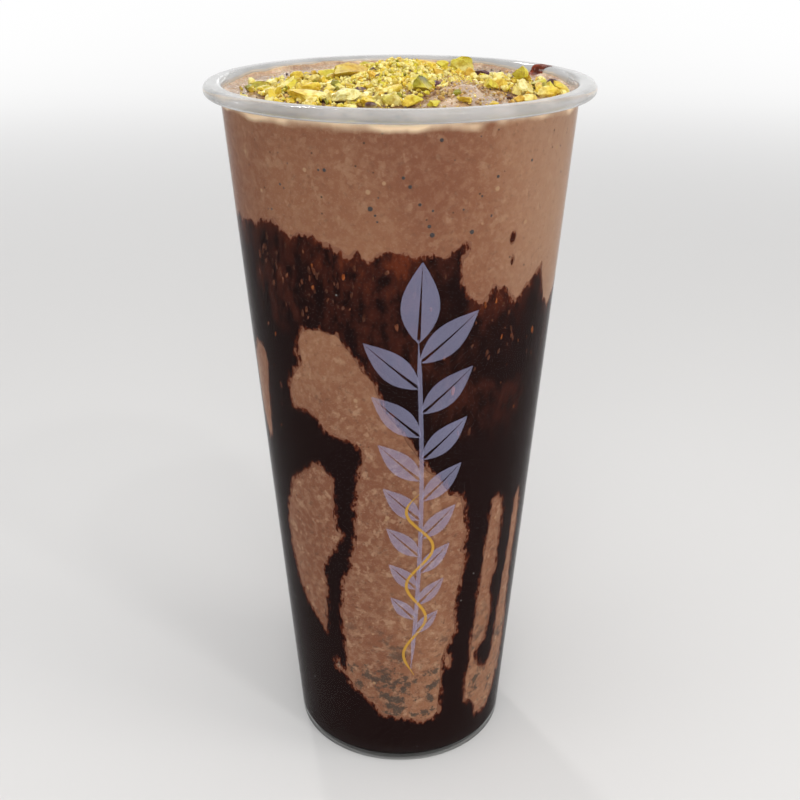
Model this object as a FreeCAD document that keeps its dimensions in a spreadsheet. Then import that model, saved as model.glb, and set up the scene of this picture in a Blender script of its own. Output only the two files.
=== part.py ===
"""Chocolate frappe in its tall clear plastic cup, topped with chopped pistachio.

Millimetres, +Z up, origin at the centre of the foot ring.  The front faces -Y, and angles
round the cup are degrees from the front, positive towards +X.

Solids: the cup, the chocolate sauce that coats its inside in streaks and pools at the
bottom, the frappe that fills the rest, and the heap of chopped nuts on the frappe.
"""
import FreeCAD, Part
import Sketcher
import math
import os
import re

from FreeCAD import Vector

# ---------------------------------------------------------------- driving dimensions
SIZES = [
    ("cup_height", 185.0),        # foot to the top of the rim
    ("mouth_diameter", 87.0),     # outside of the wall, just under the rim
    ("foot_diameter", 59.0),      # outside of the wall, at the foot
    ("wall_thickness", 0.8),
    ("floor_thickness", 1.0),
    ("foot_recess", 1.5),         # how far the underside is raised inside the foot ring
    ("foot_width", 2.6),          # width of the foot ring
    ("foot_round", 1.5),          # outer bottom edge
    ("floor_round", 2.0),         # inside corner between floor and wall
    ("rim_overhang", 4.0),        # how far the rolled rim stands out from the wall
    ("rim_roll", 3.0),            # height of the rolled rim
    ("rim_bend", 1.4),            # radius of the rim's rolled edges
    ("level_gap", 3.0),           # frappe level at the wall, below the top of the rim
    ("frappe_tilt", 1.0),         # the frappe stands this much higher at the back wall
    ("frappe_dome", 0.8),         # rise of the middle above the wall
    ("frappe_lump", 1.8),         # height of the wet lump right of the middle
    ("ripple_rise", 0.35),        # height of the waves in the frappe's surface
    ("ripple_length", 24.0),
    ("sauce_drop", 30.0),         # upper edge of the sauce, below the frappe level
    ("sauce_film", 1.2),          # thickness of the sauce on the wall
    ("sauce_pool", 6.5),          # depth of the sauce on the floor
    ("nut_edge", 0.9),            # thickness of the nut heap at its edge
    ("nut_mound", 2.4),           # extra height of the crumb mound in the middle
    ("nut_bump_rise", 0.5),       # unevenness of the heap
    ("nut_bump_length", 8.0),
]

# Shapes worked out from the sizes above, as formulas of the sheet.
DERIVED = [
    ("foot_radius", "=foot_diameter / 2"),
    ("mouth_radius", "=mouth_diameter / 2"),
    ("rim_radius", "=mouth_radius + rim_overhang"),
    ("wall_top", "=cup_height - rim_roll"),
    ("wall_slope", "=(mouth_radius - foot_radius) / wall_top"),
    ("floor_top", "=foot_recess + floor_thickness"),
    ("foot_inner", "=foot_radius - foot_width"),
    ("floor_radius", "=foot_radius + wall_slope * floor_top - wall_thickness"),
    ("lip_radius", "=foot_radius + wall_slope * cup_height - wall_thickness"),
    ("frappe_level", "=cup_height - level_gap"),
    ("sauce_line", "=frappe_level - sauce_drop"),
    ("pool_top", "=floor_top + sauce_pool"),
]

# Upper edge of the sauce: (angle, mm above the sauce line).
SAUCE_EDGE = [
    (-75, 2), (-60, 2), (-48, 5), (-38, 1), (-30, 3), (-18, -1), (-10, -2), (-3, 1), (5, -2),
    (13, 0), (20, 4), (24, -7), (29, -13), (34, -9), (42, -16), (50, -11), (57, -7), (64, -18),
    (73, -19), (88, -12), (104, -3), (118, -1), (130, -9), (146, 2), (160, 5), (174, -1),
    (188, 3), (204, -6), (220, 1), (236, 6), (252, 0), (268, 4),
]

# Places where the frappe shows through the sauce.  Each is the ring of poles of a closed
# spline: (angle, share of the way up from the cup's floor to the sauce line).
FRAPPE_WINDOWS = {
    "window_upper_left": [
        (-29, 0.90), (-41, 0.87), (-40, 0.80), (-48, 0.76), (-46, 0.70), (-34, 0.72),
        (-28, 0.68), (-15, 0.66), (-8, 0.58), (6, 0.58), (14, 0.66), (2, 0.71), (-6, 0.77),
        (-13, 0.82), (-21, 0.88),
    ],
    "window_middle": [
        (-18, 0.66), (-18, 0.55), (-20, 0.46), (-28, 0.39), (-28, 0.30), (-28, 0.22),
        (-30, 0.17), (-20, 0.13), (-11, 0.10), (2, 0.09), (13, 0.07), (22, 0.08),
        (21, 0.20), (24, 0.26), (29, 0.34), (31, 0.46), (29, 0.60), (18, 0.66), (2, 0.74),
    ],
    "window_lower_left": [
        (-30, 0.65), (-44, 0.60), (-57, 0.53), (-60, 0.44), (-58, 0.35), (-47, 0.28),
        (-37, 0.24), (-36, 0.36), (-34, 0.44), (-24, 0.50), (-28, 0.57),
    ],
    "window_right_strip": [
        (45, 0.58), (40, 0.55), (41, 0.45), (38, 0.33), (38, 0.20), (43, 0.17), (44, 0.24),
        (48, 0.32), (49, 0.42), (51, 0.54),
    ],
    "window_lower_right": [
        (38, 0.22), (34, 0.14), (42, 0.08), (50, 0.03), (58, 0.05), (60, 0.14), (58, 0.20),
        (47, 0.15),
    ],
    "window_far_right": [
        (61, 0.53), (58, 0.40), (55, 0.25), (52, 0.12), (60, 0.10), (66, 0.20), (68, 0.36),
        (67, 0.50),
    ],
    "window_left_edge": [
        (-68, 0.84), (-76, 0.80), (-80, 0.66), (-72, 0.60), (-64, 0.70),
    ],
    "window_back_right": [
        (100, 0.80), (88, 0.66), (92, 0.48), (86, 0.30), (96, 0.12), (112, 0.10), (120, 0.24),
        (114, 0.44), (124, 0.58), (116, 0.74),
    ],
    "window_back": [
        (150, 0.90), (136, 0.78), (142, 0.60), (134, 0.40), (140, 0.18), (158, 0.12),
        (170, 0.22), (164, 0.42), (176, 0.60), (168, 0.80),
    ],
    "window_back_narrow": [
        (190, 0.72), (182, 0.60), (186, 0.40), (180, 0.24), (190, 0.14), (198, 0.26),
        (196, 0.46), (202, 0.60),
    ],
    "window_back_left": [
        (226, 0.86), (214, 0.74), (218, 0.56), (210, 0.38), (216, 0.18), (234, 0.10),
        (250, 0.20), (244, 0.40), (252, 0.56), (240, 0.74),
    ],
    "window_left_strip": [
        (272, 0.58), (264, 0.50), (266, 0.34), (262, 0.22), (270, 0.14), (278, 0.26),
        (276, 0.44),
    ],
}

# Plan of the nut heap: ring of poles of a closed spline, as shares of the cup's inside
# radius, +X to the right and +Y to the back.
NUT_PLAN = [
    (0.98, -0.08), (0.86, 0.16), (0.62, 0.22), (0.42, 0.34), (0.12, 0.48), (-0.20, 0.42),
    (-0.42, 0.30), (-0.72, 0.22), (-0.90, 0.02), (-0.80, -0.20), (-0.70, -0.48),
    (-0.46, -0.70), (-0.16, -0.74), (0.08, -0.68), (0.18, -0.44), (0.34, -0.20),
    (0.54, -0.24), (0.80, -0.30),
]
NUT_MOUND_AT = (0.0, 0.10)        # top of the mound, in the same shares
NUT_MOUND_SPREAD = 0.34
LUMP_AT = (0.30, -0.42)           # top of the frappe's lump, in the same shares
LUMP_SPREAD = 0.26
WAVE_START = 0.15                 # part of a wave's length
SURFACE_REACH = 1.15              # half side of the top surfaces, as a share of the rim's radius
SURFACE_STEPS = 26                # spans along each side of the top surfaces

SPLINE_DEGREE = 3
EDGE_SPANS = 3                    # spans of a closed spline in each of its edges


# ---------------------------------------------------------------- document and sheet
doc = FreeCAD.newDocument("chocolate_frappe")
sheet = doc.addObject("Spreadsheet::Sheet", "sizes")
for row, (alias, value) in enumerate(SIZES + DERIVED, start=1):
    sheet.set("A%d" % row, alias)
    sheet.set("B%d" % row, str(value))
    sheet.setAlias("B%d" % row, alias)
doc.recompute()


def size(alias):
    """Present value of a cell of the sheet."""
    return float(getattr(sheet, alias))


def bind(thing, formulas):
    """Tie properties of an object to formulas in the sheet's aliases."""
    for name, formula in formulas.items():
        thing.setExpression(name, in_sheet(formula))


def in_sheet(formula):
    """The formula with every alias read from the sheet."""
    return re.sub(r"([a-z]+_[a-z]+)", r"sizes.\1", formula)


def inside_radius(height):
    """Radius of the inside of the wall at a height."""
    return size("foot_radius") + size("wall_slope") * height - size("wall_thickness")


def around(radius, angle, height):
    """Point at an angle from the front, at a radius and a height."""
    turn = math.radians(angle)
    return Vector(radius * math.sin(turn), -radius * math.cos(turn), height)


def feature(name, shape):
    """A document object that holds a shape made with Part's own functions."""
    thing = doc.addObject("Part::Feature", name)
    thing.Label = name
    thing.Shape = shape
    return thing


def boolean(kind, name, base, tool):
    """Part::Cut or Part::Common of two objects."""
    thing = doc.addObject("Part::" + kind, name)
    thing.Label = name
    thing.Base = base
    thing.Tool = tool
    return thing


# ---------------------------------------------------------------- cup
def origin_feature(body, role):
    """The body's own origin plane or axis with this role."""
    return [part for part in body.Origin.OriginFeatures if part.Role == role][0]


CUP_SECTION = [                   # radius and height of each corner of the cup's section
    ("0", "foot_recess"),
    ("foot_inner", "foot_recess"),
    ("foot_inner", "0"),
    ("foot_radius", "0"),
    ("mouth_radius", "wall_top"),
    ("rim_radius", "wall_top"),
    ("rim_radius", "cup_height"),
    ("lip_radius", "cup_height"),
    ("floor_radius", "floor_top"),
    ("0", "floor_top"),
]

CUP_ROUNDS = [                    # corners that are rounded, and by which size
    ("foot_round", [("foot_radius", "0")]),
    ("rim_bend", [("rim_radius", "wall_top"), ("rim_radius", "cup_height"),
                  ("lip_radius", "cup_height")]),
    ("floor_round", [("floor_radius", "floor_top")]),
]


def value_of(formula):
    """Present value of an alias, or of a plain number."""
    return 0.0 if formula == "0" else size(formula)


def draw_section(sketch, corners):
    """Closed outline through the corners, each tied to the sheet."""
    points = [Vector(value_of(radius), value_of(height), 0) for radius, height in corners]
    for index, start in enumerate(points):
        sketch.addGeometry(Part.LineSegment(start, points[(index + 1) % len(points)]), False)
    for index in range(len(points)):
        previous = (index - 1) % len(points)
        sketch.addConstraint(Sketcher.Constraint("Coincident", previous, 2, index, 1))
    for index, corner in enumerate(corners):
        for axis, formula in zip(("DistanceX", "DistanceY"), corner):
            if formula == "0":
                line = -2 if axis == "DistanceX" else -1
                sketch.addConstraint(Sketcher.Constraint("PointOnObject", index, 1, line))
                continue
            number = sketch.addConstraint(
                Sketcher.Constraint(axis, -1, 1, index, 1, value_of(formula)))
            sketch.setExpression("Constraints[%d]" % number, in_sheet(formula))


def circles_at(shape, corners):
    """Names of the round edges that pass through the given section corners."""
    names = []
    for radius, height in corners:
        for number, edge in enumerate(shape.Edges, start=1):
            is_circle = isinstance(edge.Curve, Part.Circle)
            if (is_circle and abs(edge.Curve.Radius - value_of(radius)) < 1e-4
                    and abs(edge.Curve.Center.z - value_of(height)) < 1e-4):
                names.append("Edge%d" % number)
    return names


def make_cup():
    """Tapered cup turned in one piece with its floor, foot ring and rolled rim."""
    body = doc.addObject("PartDesign::Body", "cup")
    sketch = body.newObject("Sketcher::SketchObject", "cup_section")
    sketch.AttachmentSupport = [(origin_feature(body, "XZ_Plane"), "")]
    sketch.MapMode = "FlatFace"
    draw_section(sketch, CUP_SECTION)
    turned = body.newObject("PartDesign::Revolution", "cup_turned")
    turned.Profile = sketch
    turned.ReferenceAxis = (sketch, ["V_Axis"])
    turned.Angle = 360
    doc.recompute()
    last = turned
    for alias, corners in CUP_ROUNDS:
        rounded = body.newObject("PartDesign::Fillet", "cup_" + alias)
        rounded.Base = (last, circles_at(last.Shape, corners))
        rounded.setExpression("Radius", in_sheet(alias))
        doc.recompute()
        last = rounded
    body.Label = "cup"
    return body


# ---------------------------------------------------------------- top surfaces
def wave(distance, length_alias):
    """Height, from -1 to 1, of a sine wave that starts part of a length from the middle."""
    return math.sin(2 * math.pi * (distance / size(length_alias) + WAVE_START))


def frappe_height(x, y):
    """Height of the frappe's surface over a point of the plan."""
    inside = size("mouth_radius")
    spread = (LUMP_SPREAD * inside) ** 2
    off_lump = (x - LUMP_AT[0] * inside) ** 2 + (y - LUMP_AT[1] * inside) ** 2
    return (size("frappe_level")
            + size("frappe_tilt") * y / inside
            + size("frappe_dome") * (1 - (x * x + y * y) / inside ** 2)
            + size("frappe_lump") * math.exp(-off_lump / spread)
            + size("ripple_rise") * wave(x + y / 4, "ripple_length") * wave(y, "ripple_length"))


def nut_height(x, y):
    """Height of the nut heap's surface over a point of the plan."""
    inside = size("mouth_radius")
    spread = (NUT_MOUND_SPREAD * inside) ** 2
    off_mound = (x - NUT_MOUND_AT[0] * inside) ** 2 + (y - NUT_MOUND_AT[1] * inside) ** 2
    bumps = wave(x, "nut_bump_length") * wave(y + x / 3, "nut_bump_length")
    return (frappe_height(x, y) + size("nut_edge") + size("nut_bump_rise") * (1 + bumps) / 2
            + size("nut_mound") * math.exp(-off_mound / spread))


def solid_below(height_at, depth):
    """Block with a smooth uneven top, reaching a depth below it."""
    half = SURFACE_REACH * size("rim_radius")
    places = [half * (2 * step / SURFACE_STEPS - 1) for step in range(SURFACE_STEPS + 1)]
    surface = Part.BSplineSurface()
    surface.interpolate([[Vector(x, y, height_at(x, y)) for y in places] for x in places])
    return surface.toShape().extrude(Vector(0, 0, -depth))


# ---------------------------------------------------------------- contents
def make_cone(name, bottom, top, radius_formula):
    """Cone between two heights; the radius formula holds @ for the height."""
    cone = doc.addObject("Part::Cone", name)
    cone.Label = name
    bind(cone, {
        "Placement.Base.z": bottom,
        "Height": "(%s) - (%s)" % (top, bottom),
        "Radius1": radius_formula.replace("@", bottom),
        "Radius2": radius_formula.replace("@", top),
    })
    return cone


def make_contents(cup):
    """Everything that fills the cup, up to the frappe's uneven surface."""
    middle_of_wall = "foot_radius + wall_slope * (@) - wall_thickness / 2"
    block = make_cone("contents_block", "foot_recess + floor_thickness / 2",
                      "cup_height + rim_roll", middle_of_wall)
    filled = boolean("Cut", "contents_in_cup", block, cup)
    surface = feature("frappe_surface", solid_below(frappe_height, 2 * size("cup_height")))
    return boolean("Common", "contents", filled, surface)


def short_edges(curve):
    """The whole of a closed spline as a row of short edges."""
    low, high = curve.FirstParameter, curve.LastParameter
    count = max(2, curve.NbKnots // EDGE_SPANS)
    cuts = [low + (high - low) * number / count for number in range(count + 1)]
    return [curve.toShape(start, end) for start, end in zip(cuts, cuts[1:])]


def spline_face(points):
    """Flat face inside a smooth closed outline with these poles."""
    curve = Part.BSplineCurve()
    curve.buildFromPoles(points, True, SPLINE_DEGREE)
    return Part.Face(Part.Wire(short_edges(curve)))


def ring_edges(radius, heights):
    """Closed line round the axis through heights given as (angle, height), in short edges."""
    points = [around(radius, angle, height) for angle, height in heights]
    first = heights[0][0]
    parameters = [angle - first for angle, _ in heights] + [360.0]
    curve = Part.BSplineCurve()
    curve.interpolate(Points=points, PeriodicFlag=True, Parameters=parameters)
    return short_edges(curve)


def above_sauce():
    """Ring-shaped block whose underside is the wavy upper edge of the sauce."""
    edge = [(angle, size("sauce_line") + rise) for angle, rise in SAUCE_EDGE]
    top = [(angle, size("cup_height") + size("rim_roll")) for angle, _ in SAUCE_EDGE]
    inner, outer = size("foot_radius") / 2, 2 * size("rim_radius")
    rings = [ring_edges(inner, edge), ring_edges(outer, edge),
             ring_edges(outer, top), ring_edges(inner, top)]
    faces = []
    for ring, next_ring in zip(rings, rings[1:] + rings[:1]):
        faces += [Part.makeRuledSurface(*pair) for pair in zip(ring, next_ring)]
    shell = Part.makeShell(faces)
    shell.sewShape()
    return Part.makeSolid(shell)


def window(poles):
    """Block that reaches out from the axis through the wall, with a splined outline."""
    low, high = size("floor_top"), size("sauce_line")
    middle = (min(angle for angle, _ in poles) + max(angle for angle, _ in poles)) / 2
    outline = []
    for angle, share in poles:
        height = low + share * (high - low)
        across = inside_radius(height) * math.sin(math.radians(angle - middle))
        outline.append(Vector(across, 0, height))
    block = spline_face(outline).extrude(Vector(0, -2 * size("rim_radius"), 0))
    block.rotate(Vector(0, 0, 0), Vector(0, 0, 1), middle)
    return block


def make_sauce(contents):
    """Sauce: a pool on the floor and a streaky film up the wall, in one piece."""
    core = make_cone("core_in_sauce", "pool_top", "cup_height + 2 * rim_roll",
                     "foot_radius + wall_slope * (@) - wall_thickness - sauce_film")
    lining = boolean("Cut", "sauce_lining", contents, core)
    last = boolean("Cut", "sauce_to_line", lining, feature("above_sauce", above_sauce()))
    for name, poles in FRAPPE_WINDOWS.items():
        last = boolean("Cut", "sauce_past_" + name, last, feature(name, window(poles)))
    last.Label = "chocolate_sauce"
    return last


def make_frappe(contents, sauce):
    """Frappe: all of the contents that isn't sauce."""
    return boolean("Cut", "frappe", contents, sauce)


def make_nuts(contents):
    """Heap of chopped pistachio that lies on the frappe."""
    inside = size("mouth_radius") - size("wall_thickness")
    below = size("frappe_level") - size("rim_roll")
    plan = spline_face([Vector(x * inside, y * inside, below) for x, y in NUT_PLAN])
    column = plan.extrude(Vector(0, 0, size("cup_height")))
    heap = boolean("Common", "nut_heap", feature("nut_column", column),
                   feature("nut_surface", solid_below(nut_height, 2 * size("cup_height"))))
    nuts = boolean("Cut", "nuts_on_frappe", heap, contents)
    nuts.Label = "pistachio_topping"
    return nuts


# ---------------------------------------------------------------- check and write
def check(nodes):
    """Stop if any object failed, or if a node isn't a valid shape."""
    for thing in doc.Objects:
        if "Invalid" in thing.State or "Error" in thing.State:
            raise RuntimeError("failed object: " + thing.Name)
    for node in nodes:
        if node.Shape.isNull() or not node.Shape.isValid():
            raise RuntimeError("bad shape: " + node.Label)
        if len(node.Shape.Solids) != 1:
            raise RuntimeError("%s has %d solids" % (node.Label, len(node.Shape.Solids)))


cup = make_cup()
contents = make_contents(cup)
sauce = make_sauce(contents)
frappe = make_frappe(contents, sauce)
nuts = make_nuts(contents)
doc.recompute()

nodes = [cup, sauce, frappe, nuts]
check(nodes)
os.makedirs("parts", exist_ok=True)
for node in nodes:
    node.Shape.exportStep("parts/%s.step" % node.Label)
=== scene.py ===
"""Looks of the chocolate frappe: clear cup, blended drink, sauce streaks, chopped pistachio.

Shapes are worked out in millimetres and turned into metres when a mesh is made.  Angles
round the cup are degrees from the front (-Y), positive towards +X, and heights are from
the surface that the cup stands on.
"""

import math

import bmesh
import bpy
import numpy as np
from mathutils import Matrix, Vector
from mathutils.bvhtree import BVHTree


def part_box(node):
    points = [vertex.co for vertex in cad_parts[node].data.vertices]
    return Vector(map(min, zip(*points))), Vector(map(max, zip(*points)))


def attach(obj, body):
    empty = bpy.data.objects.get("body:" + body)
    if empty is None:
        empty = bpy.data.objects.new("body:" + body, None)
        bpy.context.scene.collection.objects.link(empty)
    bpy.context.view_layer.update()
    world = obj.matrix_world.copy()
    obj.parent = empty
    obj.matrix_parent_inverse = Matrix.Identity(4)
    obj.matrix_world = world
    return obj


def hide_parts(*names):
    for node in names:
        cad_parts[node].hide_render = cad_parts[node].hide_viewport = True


MM = 0.001

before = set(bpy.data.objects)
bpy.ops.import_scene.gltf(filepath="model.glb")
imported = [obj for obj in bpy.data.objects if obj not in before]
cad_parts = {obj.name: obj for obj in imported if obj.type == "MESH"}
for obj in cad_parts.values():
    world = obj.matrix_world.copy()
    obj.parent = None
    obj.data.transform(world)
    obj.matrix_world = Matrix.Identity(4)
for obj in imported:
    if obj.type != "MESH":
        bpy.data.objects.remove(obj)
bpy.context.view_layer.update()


# ================================================================ sizes from the frame
def node_points(node):
    """Vertices of a CAD node, in millimetres."""
    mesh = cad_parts[node].data
    points = np.zeros(len(mesh.vertices) * 3)
    mesh.vertices.foreach_get("co", points)
    return points.reshape(-1, 3) / MM


def widest(node, below=1e9):
    """Radius and height of the point of a node that lies furthest from the axis."""
    points = node_points(node)
    points = points[points[:, 2] < below]
    radii = np.hypot(points[:, 0], points[:, 1])
    return radii.max(), points[radii.argmax(), 2]


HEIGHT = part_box("cup")[1].z / MM
RIM_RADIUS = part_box("cup")[1].x / MM
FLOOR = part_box("chocolate_sauce")[0].z / MM
TOP_RADIUS, TOP_AT = widest("frappe")
LOW_RADIUS, LOW_AT = widest("chocolate_sauce", below=FLOOR + 4)
SLOPE = (TOP_RADIUS - LOW_RADIUS) / (TOP_AT - LOW_AT)

WALL = 0.8                        # thickness of the cup's wall
RIM_ROLL = 3.0                    # height of the rolled rim
RIM_BEND = 1.45                   # radius of its rounded corners
FOOT_ROUND = 1.5                  # radius round the outside of the foot
FOOT_WIDTH = 2.6                  # from the wall's outside to the foot ring's inside
FOOT_RECESS = 1.5                 # how far the underside is raised inside the ring
FLOOR_ROUND = 2.0                 # radius where the floor meets the wall
INTO_WALL = 0.12                  # how far the frappe reaches into the wall
SAUCE_INTO_WALL = 0.3             # how far the sauce does, so that it lies in front
SAUCE_FILM = 1.0                  # depth of the film of sauce where it is thick
EDGE_FRAY = 0.60                  # extra width in which the sauce's edge breaks up


def inside_radius(height):
    """Radius of the inside of the cup's wall at a height."""
    return LOW_RADIUS + SLOPE * (height - LOW_AT)


def around(turn, radius, height):
    """Points at turns round the axis in radians, from the front, at a radius and height."""
    return np.stack([radius * np.sin(turn), -radius * np.cos(turn), height + 0 * turn], -1)


def on_wall(angle, height, out=0.0):
    """Points on the wall's inside (or out from it) at angles in degrees and heights."""
    return around(np.radians(angle), inside_radius(height) + out, height)


def tree_of(piece):
    """Search tree over a piece's mesh, in metres."""
    return BVHTree.FromPolygons([vertex.co for vertex in piece.data.vertices],
                                [face.vertices for face in piece.data.polygons])


def top_height(tree, x, y, otherwise):
    """Height of a mesh's top over a point of the plan, all in millimetres."""
    hit = tree.ray_cast((x * MM, y * MM, 1.0), (0, 0, -1))[0]
    return hit.z / MM if hit is not None else otherwise


# ================================================================ noise
def smooth_noise(points, length, seed=0):
    """Smooth noise between -1 and 1 at points, with bumps about as long as length."""
    place = np.asarray(points, float) / length + 100.0
    cell = np.floor(place).astype(np.int64)
    part = place - cell
    part = part * part * (3 - 2 * part)
    total = np.zeros(place.shape[:-1])
    for corner in range(8):
        step = np.array([corner & 1, corner >> 1 & 1, corner >> 2 & 1])
        weight = np.prod(np.where(step, part, 1 - part), axis=-1)
        at = (cell + step).astype(np.uint64)
        code = (at[..., 0] * np.uint64(73856093) ^ at[..., 1] * np.uint64(19349663)
                ^ at[..., 2] * np.uint64(83492791) ^ np.uint64(seed * 2654435 + 12345))
        code = (code ^ (code >> np.uint64(13))) * np.uint64(1274126177)
        code = (code ^ (code >> np.uint64(16))) & np.uint64(0xFFFF)
        total += weight * (code.astype(float) / 32767.5 - 1)
    return total


def layered_noise(points, length, layers=3, seed=0):
    """Sum of smooth noises, each half as long and half as strong as the one before."""
    return sum(smooth_noise(points, length / 2 ** number, seed + number) / 2 ** number
               for number in range(layers))


# ================================================================ meshes
def add_to_scene(name, data, at=(0, 0, 0)):
    """New object in the scene, at a place in metres."""
    thing = bpy.data.objects.new(name, data)
    thing.location = at
    bpy.context.scene.collection.objects.link(thing)
    return thing


def make_piece(name, points, faces, material, smooth=True, values=None):
    """Mesh object from millimetre points; values are named numbers or colours per point."""
    mesh = bpy.data.meshes.new(name)
    mesh.from_pydata((np.asarray(points) * MM).tolist(), [], [tuple(face) for face in faces])
    mesh.validate()
    mesh.polygons.foreach_set("use_smooth", [smooth] * len(mesh.polygons))
    for key, data in (values or {}).items():
        data = np.asarray(data, np.float32)
        if data.ndim == 2:
            layer = mesh.color_attributes.new(key, "FLOAT_COLOR", "POINT")
            rgba = np.ones((len(data), 4), np.float32)
            rgba[:, :3] = data
            layer.data.foreach_set("color", rgba.ravel())
        else:
            layer = mesh.attributes.new(key, "FLOAT", "POINT")
            layer.data.foreach_set("value", data)
    mesh.materials.append(material)
    return add_to_scene(name, mesh)


def ring_faces(rows, columns, closed=True):
    """Quads between rows of points, each row running once round the axis if closed."""
    faces = []
    for low in range(0, (rows - 1) * columns, columns):
        for column in range(columns if closed else columns - 1):
            right = (column + 1) % columns
            faces.append((low + column, low + right, low + columns + right,
                          low + columns + column))
    return faces


def fan(centre, first, columns):
    """Triangles between a centre point and a ring of points."""
    return [(centre, first + (column + 1) % columns, first + column)
            for column in range(columns)]


def closed_sheet(upper, lower, faces):
    """Points and faces of a sheet with two sides, and a border that joins them."""
    count = len(upper)
    edges = {(one, two) for face in faces for one, two in zip(face, face[1:] + face[:1])}
    border = [(one, two) for one, two in edges if (two, one) not in edges]
    under = [tuple(corner + count for corner in face[::-1]) for face in faces]
    skirt = [(two, one, one + count, two + count) for one, two in border]
    return np.concatenate([upper, lower]), faces + under + skirt


def turned(profile, columns):
    """Points and faces of a profile of (radius, height) turned round the axis.

    The profile starts and ends on the axis, where one point is shared by all columns.
    """
    turn = np.linspace(0, 2 * math.pi, columns, endpoint=False)
    rings = [around(turn, radius, height) for radius, height in profile if radius > 1e-6]
    centre = len(rings) * columns
    faces = ring_faces(len(rings), columns) + fan(centre, 0, columns)
    faces += [face[::-1] for face in fan(centre + 1, centre - columns, columns)]
    return np.concatenate(rings + [[(0, 0, profile[0][1]), (0, 0, profile[-1][1])]]), faces


CORNER_STEP = 15                  # degrees between the points of a rounded corner


def rounded(corners):
    """Profile through (radius, height, bend) corners, each rounded by its bend."""
    profile = []
    for number, (radius, height, bend) in enumerate(corners):
        here = np.array([radius, height])
        if bend <= 0:
            profile.append(here)
            continue
        back = np.array(corners[number - 1][:2]) - here
        ahead = np.array(corners[number + 1][:2]) - here
        back, ahead = back / np.linalg.norm(back), ahead / np.linalg.norm(ahead)
        half = math.acos(np.clip(back @ ahead, -1, 1)) / 2
        start, end = here + back * bend / math.tan(half), here + ahead * bend / math.tan(half)
        centre = here + (back + ahead) / np.linalg.norm(back + ahead) * bend / math.sin(half)
        first = math.atan2(*(start - centre)[::-1])
        sweep = math.atan2(*(end - centre)[::-1]) - first
        sweep = (sweep + math.pi) % (2 * math.pi) - math.pi
        count = max(2, round(abs(math.degrees(sweep)) / CORNER_STEP))
        profile += [centre + bend * np.array([math.cos(turn), math.sin(turn)])
                    for turn in np.linspace(first, first + sweep, count + 1)]
    return profile


# ================================================================ materials
class Nodes:
    """Small helper to wire up a node material, or the world."""

    def __init__(self, name, kind="materials", output="OutputMaterial"):
        self.block = getattr(bpy.data, kind).new(name)
        self.block.use_nodes = True
        self.tree = self.block.node_tree
        self.tree.nodes.clear()
        self.output = self.add(output)

    def add(self, kind, inputs=None, **settings):
        """New node with settings; inputs are sockets to link from, numbers or colours."""
        node = self.tree.nodes.new("ShaderNode" + kind)
        for key, value in settings.items():
            setattr(node, key, value)
        for key, value in (inputs or {}).items():
            socket = node.inputs[key]
            if isinstance(value, bpy.types.NodeSocket):
                self.tree.links.new(value, socket)
            else:
                socket.default_value = (*value, 1) if socket.type == "RGBA" else value
        return node

    def place(self, stretch=(1, 1, 1)):
        """Object position, stretched."""
        where = self.add("TexCoord").outputs["Object"]
        return self.add("Mapping", {"Vector": where, "Scale": stretch}).outputs[0]

    def noise(self, scale, detail=2.0, stretch=(1, 1, 1), roughness=0.5):
        """Noise value with a number of bumps per metre."""
        return self.add("TexNoise", {"Vector": self.place(stretch), "Scale": scale,
                                     "Detail": detail, "Roughness": roughness}).outputs[0]

    def dots(self, scale, radius, keep):
        """1 inside small dots scattered at random, 0 elsewhere; keep is the share kept."""
        cells = self.add("TexVoronoi", {"Vector": self.place(), "Scale": scale}).outputs
        near = self.ramp(cells["Distance"], radius, radius * 0.6)
        pick = self.add("SeparateColor", {"Color": cells["Color"]}).outputs[0]
        return self.times(near, self.math("LESS_THAN", pick, keep))

    def ramp(self, value, low, high):
        """Value turned smoothly from 0 at low to 1 at high."""
        return self.add("MapRange", {"Value": value, "From Min": low, "From Max": high},
                        interpolation_type="SMOOTHSTEP").outputs[0]

    def spread(self, value, low, high, least, most):
        """Value between low and high turned into one between least and most."""
        return self.add("MapRange", {"Value": value, "From Min": low, "From Max": high,
                                     "To Min": least, "To Max": most}).outputs[0]

    def math(self, operation, first, second):
        return self.add("Math", {0: first, 1: second}, operation=operation).outputs[0]

    def times(self, first, second):
        return self.math("MULTIPLY", first, second)

    def mix(self, factor, first, second, blend="MIX"):
        """Colour mixed by a factor."""
        return self.add("Mix", {0: factor, 6: first, 7: second}, data_type="RGBA",
                        blend_type=blend).outputs[2]

    def blend(self, factor, first, second):
        """Shader mixed by a factor."""
        return self.add("MixShader", {0: factor, 1: first, 2: second}).outputs[0]

    def value(self, name, output="Fac"):
        """Named number or colour stored on the mesh's points."""
        return self.add("Attribute", attribute_name=name).outputs[output]

    def bump(self, height, strength, distance):
        """Normal bent by a height, with distance in metres."""
        return self.add("Bump", {"Height": height, "Strength": strength,
                                 "Distance": distance}).outputs[0]

    def principled(self, **inputs):
        names = {key.replace("_", " "): value for key, value in inputs.items()}
        return self.add("BsdfPrincipled", names).outputs[0]

    def either_ray(self, *kinds):
        """1 for rays of any of these kinds."""
        rays = self.add("LightPath").outputs
        seen = rays[f"Is {kinds[0]} Ray"]
        for kind in kinds[1:]:
            seen = self.math("MAXIMUM", seen, rays[f"Is {kind} Ray"])
        return seen

    def finish(self, shader):
        self.tree.links.new(shader, self.output.inputs["Surface"])
        return self.block


RIM_TONE = (0.39, 0.39, 0.38)
RIM_BRIGHT = (0.60, 0.59, 0.575)
CLEAR = (0.97, 0.98, 0.985)
RIM_CLEAR = (0.66, 0.67, 0.68)    # the lip is thicker and rolled over, so it dims more
FOOT_PAINTED_SHADE = (0.10, 0.10, 0.095)  # painted shade on the foot's skirt, standing in for the dark sauce seen through it


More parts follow.
